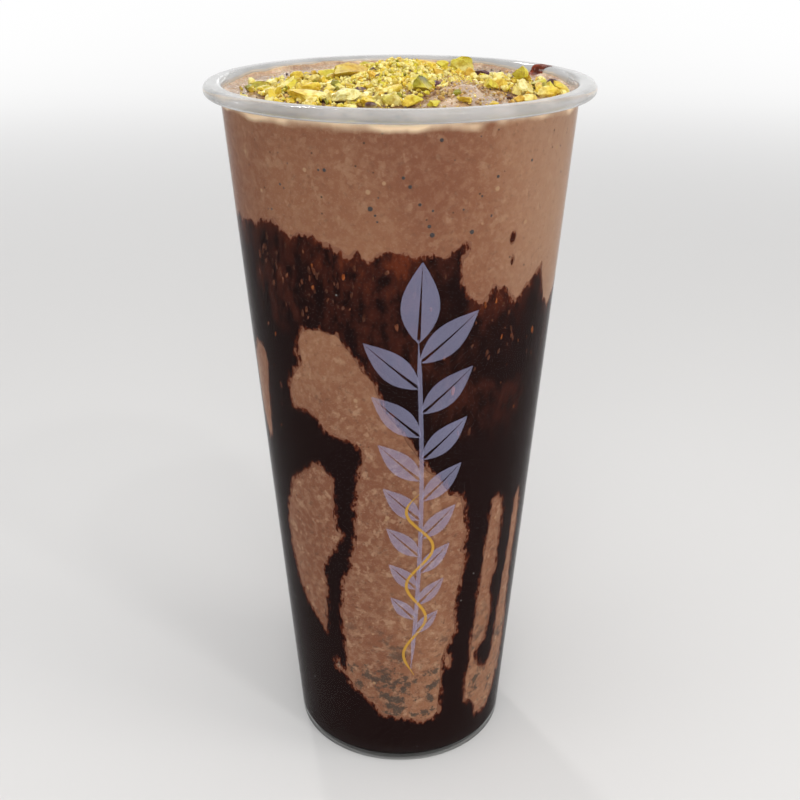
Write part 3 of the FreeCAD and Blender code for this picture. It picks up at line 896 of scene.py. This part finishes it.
class Scatter:
    """Many small bits joined into one mesh, each with its own colour or colours."""

    def __init__(self, level):
        ball = bmesh.new()
        bmesh.ops.create_icosphere(ball, subdivisions=level, radius=1.0)
        self.template = np.array([vertex.co for vertex in ball.verts])
        self.faces = np.array([[vertex.index for vertex in face.verts] for face in ball.faces])
        ball.free()
        self.points, self.colours = [], []

    def add(self, points, colours):
        """Add a bit made from the template, with one colour or one for each point."""
        self.points.append(points)
        self.colours.append(np.broadcast_to(colours, points.shape))

    def piece(self, name, material):
        starts = len(self.template) * np.arange(len(self.points))
        faces = (self.faces + starts[:, None, None]).reshape(-1, 3).tolist()
        return make_piece(name, np.concatenate(self.points), faces, material,
                          smooth=False, values={"tint": np.concatenate(self.colours)})


def blend_tones(share, one, other):
    """Colours between one (where share is 0) and the other (where it is 1)."""
    share = np.asarray(share)[..., None]
    return np.array(one) * (1 - share) + np.array(other) * share


def nut_colours(rng, shape, main, second, skin):
    """Colour of each point of a bit: two tones across it, with skin on one side."""
    across = shape / np.linalg.norm(shape, axis=1, keepdims=True) @ unit_vector(rng)
    colours = blend_tones(np.clip(0.5 + 0.9 * across, 0, 1), main, second)
    if skin > 0:
        colours = np.where((across > 1 - 2 * skin)[:, None], np.array(SKIN), colours)
    return colours * rng.uniform(0.88, 1.10)


# Larger bits that stand out: (x, y, length, width, thickness, turn, main, second, skin).
CHOSEN_BITS = [
    (-34.3, -3.5, 5.4, 4.6, 3.0, 12, GREEN, (0.42, 0.36, 0.02), 0),
    (-28.8, -13.8, 5.0, 4.2, 2.8, -12, PALE, YELLOW, 0),
    (-27.0, -5.5, 4.4, 4.6, 2.8, 30, LIME, PALE, 0),
    (-21.9, -9.0, 6.0, 4.6, 3.2, -18, YELLOW, GOLDEN, 0),
    (-21.2, -20.6, 9.6, 5.4, 3.2, -12, PALE, YELLOW, 0),
    (-13.2, -22.8, 6.8, 6.2, 3.6, 5, (0.84, 0.79, 0.36), (0.82, 0.74, 0.32), 0),
    (-18.8, 5.0, 6.2, 5.0, 3.2, 5, LIME, YELLOW, 0),
    (-13.5, 1.5, 9.6, 6.0, 5.0, 22, GOLDEN, (0.66, 0.50, 0.06), 0),
    (-25.2, 6.5, 4.8, 3.6, 2.6, 10, YELLOW, GOLDEN, 0),
    (-22.4, 5.2, 2.5, 2.0, 1.6, -35, SKIN, SKIN, 0.5),
    (-18.5, 22.0, 1.7, 1.4, 1.0, 0, SKIN, SKIN, 0.5),
    (-9.5, -14.5, 3.0, 2.6, 2.2, -30, SKIN, YELLOW, 0.45),
    (-3.0, -17.5, 6.0, 2.8, 2.4, 28, PALE, YELLOW, 0),
    (-1.2, -25.5, 4.8, 4.2, 3.0, 0, LIME, PALE, 0),
    (-6.8, -25.8, 3.6, 3.2, 2.2, 15, YELLOW, LIME, 0),
    (-7.3, -18.0, 2.6, 2.4, 2.0, 0, PALE, PALE, 0),
    (-16.8, -12.5, 3.4, 3.0, 2.6, 20, YELLOW, PALE, 0),
    (4.7, -17.0, 5.2, 5.0, 5.0, 30, (0.14, 0.14, 0.005), LIME, 0),
    (4.0, -9.0, 4.6, 4.0, 4.0, -20, LIME, YELLOW, 0),
    (9.3, -1.0, 2.9, 2.6, 2.8, 15, GOLDEN, YELLOW, 0),
    (16.9, 7.5, 2.6, 2.2, 2.6, 0, GOLDEN, GOLDEN, 0),
    (15.6, 12.5, 5.4, 4.0, 5.4, 10, LIME, PALE, 0),
    (20.2, 8.0, 3.6, 2.2, 2.3, -10, SKIN, SKIN, 0.5),
    (24.7, 12.0, 4.6, 3.2, 2.8, -10, LIME, YELLOW, 0),
    (20.6, 1.0, 3.4, 2.8, 2.2, 15, YELLOW, PALE, 0),
    (23.8, 3.5, 3.4, 2.6, 2.2, -20, PALE, YELLOW, 0),
    (21.0, -9.5, 3.2, 2.8, 2.8, 20, YELLOW, LIME, 0),
    (24.0, -7.0, 3.0, 2.6, 2.6, -25, GOLDEN, YELLOW, 0),
    (29.8, 5.5, 4.2, 4.0, 4.4, 20, LIME, (0.50, 0.42, 0.03), 0),
    (29.2, -7.0, 4.0, 3.6, 3.4, 30, (0.84, 0.77, 0.36), PALE, 0),
    (33.4, -1.5, 4.0, 2.8, 2.8, -15, LIME, GREEN, 0),
    (36.8, -3.5, 4.2, 2.4, 2.6, -25, SKIN, SKIN, 0.5),
    (34.5, -10.0, 4.8, 3.2, 2.6, -15, PALE, YELLOW, 0),
    (38.6, -8.0, 3.0, 2.2, 1.8, -20, YELLOW, PALE, 0),
    (30.0, -18.0, 3.4, 2.6, 2.2, 10, YELLOW, PALE, 0),
    (27.3, -19.2, 3.5, 2.6, 2.0, 10, GOLDEN, GOLDEN, 0),
    (25.0, -17.0, 1.8, 1.5, 1.3, 20, SKIN, GOLDEN, 0.5),
    (14.5, -25.4, 2.8, 2.4, 1.8, 0, YELLOW, YELLOW, 0),
    (12.8, -21.8, 1.7, 1.5, 1.8, 0, GREEN, GREEN, 0),
    (2.6, -27.0, 4.2, 3.4, 2.4, -10, LIME, YELLOW, 0),
    (7.6, -27.6, 3.2, 2.2, 1.8, 10, LIME, LIME, 0),
    (20.7, -24.8, 2.4, 2.0, 1.6, 20, YELLOW, YELLOW, 0),
    (-35.8, -12.5, 4.0, 1.6, 1.2, -25, PALE, YELLOW, 0),
    (-8.0, 14.5, 4.8, 3.6, 2.8, 10, LIME, GREEN, 0),
    (-1.5, 12.5, 4.2, 3.6, 3.0, 40, PALE, YELLOW, 0),
    (5.5, 10.0, 5.2, 3.6, 3.0, -15, GOLDEN, YELLOW, 0),
    (10.5, 11.5, 3.4, 3.0, 2.6, 25, LIME, YELLOW, 0),
    (-13.0, 12.0, 4.0, 3.0, 2.4, -20, LIME, YELLOW, 0.2),
]


def mound_at(x, y):
    """1 in the middle of the fine crumbs heaped at the centre, falling to 0 around."""
    return np.exp(-(x / 11.0) ** 2 - ((y - 3) / 13.0) ** 2)


NUT_LOW, NUT_HIGH = (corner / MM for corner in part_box("pistachio_topping"))
MIDDLING_BITS = 230
CRUMBS = 3000
WET_GRAINS = 850                  # tiny grains on the wet lump
LOOSE_GRAINS = 650                # and over the whole top, out to GRAIN_REACH
GRAIN_REACH = 39.5
DAMP_NUT = (0.62, 0.43, 0.12)     # a grain's colour lies between this and WET_TOP
MOUND_RISE = 1.1                  # how much higher the crumbs are heaped than the CAD heap


def nut_place(rng, tree, spread):
    """Random place on the nut heap, more likely where spread is near 1."""
    while True:
        x = rng.uniform(NUT_LOW.x, NUT_HIGH.x)
        y = rng.uniform(NUT_LOW.y, NUT_HIGH.y)
        if top_height(tree, x, y, None) is not None and rng.uniform() < spread(x, y):
            return x, y


def make_nuts():
    """Low core of fine crumbs, chosen large bits, random middling bits and crumbs."""
    rng = np.random.default_rng(11)
    tree = tree_of(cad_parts["pistachio_topping"])
    ground = tree_of(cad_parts["frappe"])

    def height_at(x, y):
        """Top of what the bits lie on at a point of the plan."""
        bed = top_height(ground, x, y, TOP_AT) + LUMP_RISE * lump_at(x, y)
        heap = top_height(tree, x, y, None)
        return bed if heap is None else max(bed, heap + MOUND_RISE * mound_at(x, y) - 0.3)

    bits = Scatter(3)
    for x, y, length, width, thick, turn, main, second, skin in CHOSEN_BITS:
        shape = chopped(bits.template, rng, np.array([length, width, thick]) / 1.6, 9, 0.2)
        colours = nut_colours(rng, shape, main, second, skin)
        lean = np.radians([rng.uniform(-14, 14), rng.uniform(-14, 14), turn])
        bits.add(tilted(shape, lean) + [x, y, height_at(x, y) + 0.25 * thick], colours)

    def open_ground(x, y):
        """Chance that a bit lies here: few on the wet lump and at the back left."""
        bare = math.exp(-((x + 32) / 9) ** 2 - ((y - 8) / 9) ** 2)
        return max(0.04, 0.8 - 1.3 * lump_at(x, y) - 0.7 * bare)

    tones = [PALE, YELLOW, LIME, GOLDEN, GREEN, SKIN]
    middling = Scatter(2)
    for _ in range(MIDDLING_BITS):
        x, y = nut_place(rng, tree, open_ground)
        scale = rng.uniform(1.3, 3.3) * (1 - 0.30 * mound_at(x, y))
        form = scale * np.array([rng.uniform(0.8, 1.3), rng.uniform(0.6, 1.0),
                                 rng.uniform(0.4, 0.8)])
        shape = chopped(middling.template, rng, form / 1.6, 6, 0.2) @ turn_matrix(rng).T
        main, second = rng.choice(6, 2, p=[0.34, 0.30, 0.19, 0.09, 0.04, 0.04])
        colours = nut_colours(rng, shape, tones[main], tones[second], 0)
        middling.add(shape + [x, y, height_at(x, y) + 0.12 * scale], colours)

    crumbs = Scatter(1)
    for _ in range(CRUMBS):
        x, y = nut_place(rng, tree, lambda x, y: 0.14 + 0.86 * mound_at(x, y))
        scale = 0.4 + 1.3 * rng.uniform() ** 1.6
        form = scale * rng.uniform(0.5, 1.2, 3)
        shape = chopped(crumbs.template, rng, form / 1.8, 3, 0.3) @ turn_matrix(rng).T
        main = tones[rng.choice(6, p=[0.50, 0.30, 0.11, 0.06, 0.02, 0.01])]
        colour = np.array(main) * rng.uniform(0.85, 1.15)
        height = height_at(x, y) + rng.uniform(0.0, 0.8) * mound_at(x, y)
        crumbs.add(shape + [x, y, height + 0.25 * scale], colour)

    for number in range(WET_GRAINS + LOOSE_GRAINS):
        if number < WET_GRAINS:
            x, y = rng.normal(LUMP_AT, np.array(LUMP_REACH) * 0.62)
        else:
            turn, far = rng.uniform(0, 2 * math.pi), GRAIN_REACH * math.sqrt(rng.uniform())
            x, y = far * math.sin(turn), far * math.cos(turn)
        scale = 0.35 + 1.3 * rng.uniform() ** 2
        shape = chopped(crumbs.template, rng, scale * rng.uniform(0.25, 0.55, 3), 3, 0.3)
        main = blend_tones(rng.uniform(), WET_TOP, DAMP_NUT)
        if number >= WET_GRAINS and rng.uniform() < 0.45:
            main = np.array([DARK_FLECK, YELLOW, LIME][rng.choice(3, p=[0.5, 0.3, 0.2])])
        colour = main * rng.uniform(0.7, 1.2)
        crumbs.add(shape @ turn_matrix(rng).T + [x, y, height_at(x, y) + 0.15], colour)

    material = nut_material("pistachio")
    pieces = [bits.piece("pistachio_large_bits", material),
              middling.piece("pistachio_small_bits", material),
              crumbs.piece("pistachio_crumbs", nut_material("pistachio_fine", crumbs=True)),
              make_nut_core(tree)]
    for piece in pieces:
        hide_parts("pistachio_topping")
    return pieces


def tilted(points, angles):
    """Points turned about X, then Y, then Z."""
    for (one, two), angle in zip(((1, 2), (2, 0), (0, 1)), angles):
        cosine, sine = math.cos(angle), math.sin(angle)
        points = points.copy()
        points[:, [one, two]] = points[:, [one, two]] @ [[cosine, sine], [-sine, cosine]]
    return points


CORE_STEP = 0.45                  # millimetres between the points of the core


def make_nut_core(tree):
    """Crumbly core under the loose bits, inside the outline of the CAD heap."""
    index, points = {}, []
    for i, x in enumerate(np.arange(NUT_LOW.x, NUT_HIGH.x, CORE_STEP)):
        for j, y in enumerate(np.arange(NUT_LOW.y, NUT_HIGH.y, CORE_STEP)):
            height = top_height(tree, x, y, None)
            if height is not None:
                index[i, j] = len(points)
                points.append((x, y, height))
    points = np.array(points)
    relief = 0.5 * layered_noise(points * [1, 1, 0], 1.6, 2, seed=61)
    mound = mound_at(points[:, 0], points[:, 1])
    points[:, 2] += relief * (0.45 + 0.8 * mound) - 0.7 * (1 - mound) + MOUND_RISE * mound - 0.2
    faces = []
    for i, j in index:
        ring = tuple(index.get(key) for key in ((i, j), (i + 1, j), (i + 1, j + 1), (i, j + 1)))
        if None not in ring:
            faces.append(ring)
    tones = np.array([PALE, YELLOW, LIME])
    pick = np.clip((smooth_noise(points, 1.3, seed=71) + 1) * 1.5, 0, 1.99)
    whole = pick.astype(int)
    colours = blend_tones(pick - whole, tones[whole], tones[whole + 1])
    wet = np.clip(1.35 - 1.9 * mound + 0.5 * smooth_noise(points, 4.0, seed=72), 0, 1)
    shade = np.clip(0.5 + 0.9 * smooth_noise(points, 1.6, seed=73), 0, 1)
    colours = blend_tones(wet, colours, blend_tones(shade, WET_DEEP, WET_TOP))
    both_sides, faces = closed_sheet(points, points - [0, 0, 1.2], faces)
    return make_piece("pistachio_core", both_sides, faces,
                      nut_material("pistachio_core", crumbs=True),
                      values={"tint": np.concatenate([colours, colours])})


# ================================================================ bubbles on the wall
BUBBLES = [                       # (angle, height, radius) of the ones that stand out
    (12, 178.0, 0.45), (-23, 171, 0.45), (1, 170, 0.40), (3, 168, 0.45), (-9, 163, 0.6),
    (6, 164, 0.40), (9, 159, 0.45), (10, 157, 0.6), (23, 157, 0.55), (31, 169, 0.4),
]
SMALL_BUBBLES = 46
BUBBLE_TONE = (0.034, 0.022, 0.020)


def make_bubbles():
    """Small air bubbles that the frappe traps against the wall, seen as dark dots."""
    rng = np.random.default_rng(3)
    spots = BUBBLES + [(rng.uniform(-180, 180), rng.uniform(158, 180), rng.uniform(0.15, 0.34))
                       for _ in range(SMALL_BUBBLES)]
    dots = Scatter(2)
    for angle, height, radius in spots:
        out = around(np.radians(angle), 1, 0)
        ball = dots.template * radius
        ball = ball - np.outer(ball @ out, out) * 0.8
        dots.add(ball + on_wall(angle, height, out=INTO_WALL), BUBBLE_TONE)
    piece = dots.piece("frappe_bubbles", simple_material("bubble", BUBBLE_TONE, 0.3))
    return piece


# ================================================================ sauce smear on the rim
SMEAR_TONE = (0.24, 0.036, 0.009)


def make_smear(*below):
    """Dab of chocolate sauce on the rim at the back right, running down to the drink."""
    trees = [tree_of(piece) for piece in below]
    along, across = np.meshgrid(np.linspace(0, 1, 41), np.linspace(-0.5, 0.5, 17),
                                indexing="ij")
    width = np.sin(math.pi * along ** 1.6) ** 0.7 * (0.35 + 0.75 * along ** 1.5)
    points = around(np.radians(114.5 + 12 * along - across),
                    inside_radius(HEIGHT) + 2.2 - 2.5 * along + 6.4 * across * width,
                    0).reshape(-1, 3)
    rise = (0.4 * width * np.cos(math.pi * across) - 0.05).ravel()
    points[:, 2] = rise + [max(top_height(tree, x, y, 0) for tree in trees)
                           for x, y, _ in points]
    points[:, 2] += 0.10 * smooth_noise(points, 1.4, seed=80)
    faces = [face[:1] + face[:0:-1] for face in ring_faces(*along.shape, closed=False)]
    points, faces = closed_sheet(points, points - [0, 0, 0.25], faces)
    material = simple_material("sauce_smear", SMEAR_TONE, 0.35, vary=0.7, scale=500,
                               Specular_IOR_Level=0.12)
    piece = make_piece("sauce_smear", points, faces, material)
    return piece


# ================================================================ generic print
PRINT_MIDDLE = 5.0                # degrees to the right of the front
PRINT_OUT = 0.06                  # how far the print stands off the wall
VIOLET_INK = (0.36, 0.35, 0.53)
GOLD_INK = (0.52, 0.27, 0.02)


def leaf(x, y, length, width, turn, rib):
    """Two halves of a leaf, with a bare rib between them, in millimetres on the flat."""
    points, faces = [], []
    steps = 14
    cosine, sine = math.cos(math.radians(turn)), math.sin(math.radians(turn))
    for side in (1, -1):
        first = len(points)
        for share in np.linspace(0, 1, steps + 1):
            half = width / 2 * math.sin(math.pi * share) ** 0.9 * (1.15 - 0.4 * share)
            gap = rib / 2 * (1 - share)
            for v in (min(gap, half), half):
                u, w = length * share, side * v
                points.append((x + u * cosine - w * sine, y + u * sine + w * cosine))
        for here in range(first, first + 2 * steps, 2):
            faces.append((here, here + 2, here + 3, here + 1)[::side])
    return points, faces


def ribbon(line, width):
    """Thin band along a line of flat points, narrowing at its ends."""
    line = np.array(line)
    along = np.gradient(line, axis=0)
    along /= np.linalg.norm(along, axis=1, keepdims=True)
    across = np.stack([-along[:, 1], along[:, 0]], -1)
    share = np.linspace(0, 1, len(line))
    across *= width / 2 * np.clip(np.minimum(share, 1 - share) * 12, 0.2, 1)[:, None]
    count = len(line)
    faces = [(i, i + 1, i + 1 + count, i + count) for i in range(count - 1)]
    return np.concatenate([line + across, line - across]).tolist(), faces


def print_piece(name, shapes, material):
    """Flat shapes of (points, faces) wrapped onto the wall's outside."""
    points, faces = [], []
    for shape_points, shape_faces in shapes:
        faces += [tuple(corner + len(points) for corner in face) for face in shape_faces]
        points += shape_points
    x, heights = np.array(points).T
    angles = PRINT_MIDDLE + np.degrees(x / (inside_radius(heights) + WALL))
    piece = make_piece(name, on_wall(angles, heights, out=WALL + PRINT_OUT), faces, material)
    return piece


STEM_TOP, STEM_FOOT = 146.0, 34.0     # heights of the sprig's ends


def sprig_share(height):
    """0 at the top of the sprig, 1 at its foot."""
    return (STEM_TOP - height) / (STEM_TOP - STEM_FOOT)


def stem_x(height):
    """Sideways place of the sprig's stem at a height."""
    return 3.0 * math.sin(2.6 * sprig_share(height)) - 1.5 * sprig_share(height)


def make_print():
    """A plain leafy sprig in thin ink, with a fine golden line winding round it."""
    stem = [(stem_x(height), height) for height in np.linspace(STEM_FOOT, STEM_TOP - 14, 60)]
    shapes = [ribbon(stem, 1.1),
              leaf(stem_x(STEM_TOP - 15), STEM_TOP - 15, 20, 9.5, 88, rib=0.9)]
    height, on_right = STEM_TOP - 20, True
    while height > STEM_FOOT + 10:
        share = sprig_share(height)
        length = 21 * (1 - 0.62 * share)
        lean = 38 + 12 * share
        shapes.append(leaf(stem_x(height), height, length, 0.42 * length,
                           lean if on_right else 180 - lean, rib=0.8))
        height -= 4.2 + 3.2 * (1 - share)
        on_right = not on_right
    ink = ink_material("white_ink", VIOLET_INK, 0.36)
    gold = ink_material("gold_ink", GOLD_INK, 0.85)
    wave = [(stem_x(h) + (2.2 + 1.8 * (h - STEM_FOOT) / 60) * math.sin(h / 3.6), h)
            for h in np.linspace(STEM_FOOT - 2, STEM_TOP - 56, 150)]
    return [print_piece("print_sprig", shapes, ink),
            print_piece("print_golden_line", [ribbon(wave, 0.75)], gold)]


# ================================================================ stage
CAMERA_AT = (0.0, -0.2832, 0.2242)
CAMERA_TILT = 66.25               # degrees from looking straight down
CAMERA_LENS = 50.98
FLOOR_TONE = (0.70, 0.685, 0.67)
WHITE_FROM_TO = (0.25, 1.5)       # metres from the cup over which the floor turns white
SEEN_BY = ("Camera", "Glossy", "Transmission")    # rays that see the white surroundings
WORLD_TONE = (0.93, 0.96, 1.0)
WORLD_LEVEL = 0.45
LAMP_AIM = (0, 0, 0.12)


def make_camera():
    """Camera in front of the cup, looking down on it a little."""
    data = bpy.data.cameras.new("camera")
    data.lens = CAMERA_LENS
    data.sensor_width = 36.0
    data.clip_start = 0.01
    camera = add_to_scene("camera", data, CAMERA_AT)
    camera.rotation_euler = (math.radians(CAMERA_TILT), 0, 0)
    bpy.context.scene.camera = camera


def make_lamp(name, at, size, power, colour=(1, 1, 1), mirrored=False):
    """Square lamp aimed at the cup, not seen through the plastic or, mostly, in it."""
    data = bpy.data.lights.new(name, "AREA")
    data.shape = "RECTANGLE"
    data.size, data.size_y = size
    data.energy = power
    data.color = colour
    lamp = add_to_scene(name, data, at)
    aim = Vector(LAMP_AIM) - Vector(at)
    lamp.rotation_euler = aim.to_track_quat("-Z", "Y").to_euler()
    lamp.visible_transmission = False
    lamp.visible_glossy = mirrored


def make_floor():
    """Pale floor that curves up into a backdrop; plain white where the camera sees it."""
    side, back, bend = 3.0, 1.6, 0.5
    profile = [(-side, 0.0), (back - bend, 0.0)]
    profile += [(back - bend + bend * math.sin(math.radians(t)),
                 bend - bend * math.cos(math.radians(t))) for t in range(10, 91, 10)]
    profile.append((back, 2.5))
    points = [(x, y, z) for y, z in profile for x in (-side, side)]
    faces = ring_faces(len(profile), 2, closed=False)
    nodes = Nodes("floor")
    soft = nodes.principled(
        Base_Color=nodes.mix(nodes.noise(3), FLOOR_TONE, tuple(0.99 * c for c in FLOOR_TONE)),
        Roughness=0.9)
    away = nodes.add("VectorMath", {0: nodes.place()}, operation="LENGTH").outputs["Value"]
    white = nodes.add("Emission", {"Color": (1, 1, 1), "Strength": 1.0}).outputs[0]
    far = nodes.times(nodes.either_ray(*SEEN_BY), nodes.ramp(away, *WHITE_FROM_TO))
    floor = make_piece("floor", np.array(points) / MM, faces,
                       nodes.finish(nodes.blend(far, soft, white)))


def make_world():
    """Soft surroundings; plain white where they are seen, also through the plastic."""
    nodes = Nodes("world", "worlds", "OutputWorld")
    soft, white = [nodes.add("Background", {"Color": tone, "Strength": level}).outputs[0]
                   for tone, level in ((WORLD_TONE, WORLD_LEVEL), ((1, 1, 1), 1.0))]
    bpy.context.scene.world = nodes.finish(
        nodes.blend(nodes.either_ray(*SEEN_BY), soft, white))


def make_light():
    """The world and all lamps."""
    make_world()
    make_lamp("top_soft", (0.0, -0.25, 1.1), (0.9, 0.9), 5.1)
    make_lamp("front_soft", (-0.05, -1.1, 0.65), (0.8, 0.7), 5.2)
    make_lamp("right_soft", (0.95, -0.3, 0.45), (0.4, 0.8), 3.1, (1, 0.98, 0.95))
    make_lamp("left_soft", (-0.95, -0.3, 0.45), (0.4, 0.8), 0.9)
    make_lamp("sparkle_right", (0.55, -0.65, 0.95), (0.06, 0.06), 1.0, mirrored=True)
    make_lamp("sparkle_middle", (0.32, -0.5, 1.0), (0.04, 0.04), 0.5, mirrored=True)
    make_lamp("sparkle_back", (-0.25, 0.7, 0.9), (0.07, 0.07), 1.5, mirrored=True)


# ================================================================ put together
cup, drink = make_cup(), make_frappe()
pieces = [cup, drink, make_sauce(), make_flecks(), make_bubbles(), make_smear(cup, drink)]
pieces += make_nuts() + make_print()
for piece in pieces:
    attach(piece, "root")

make_camera()
make_floor()
make_light()
bpy.context.scene.view_settings.view_transform = "Standard"
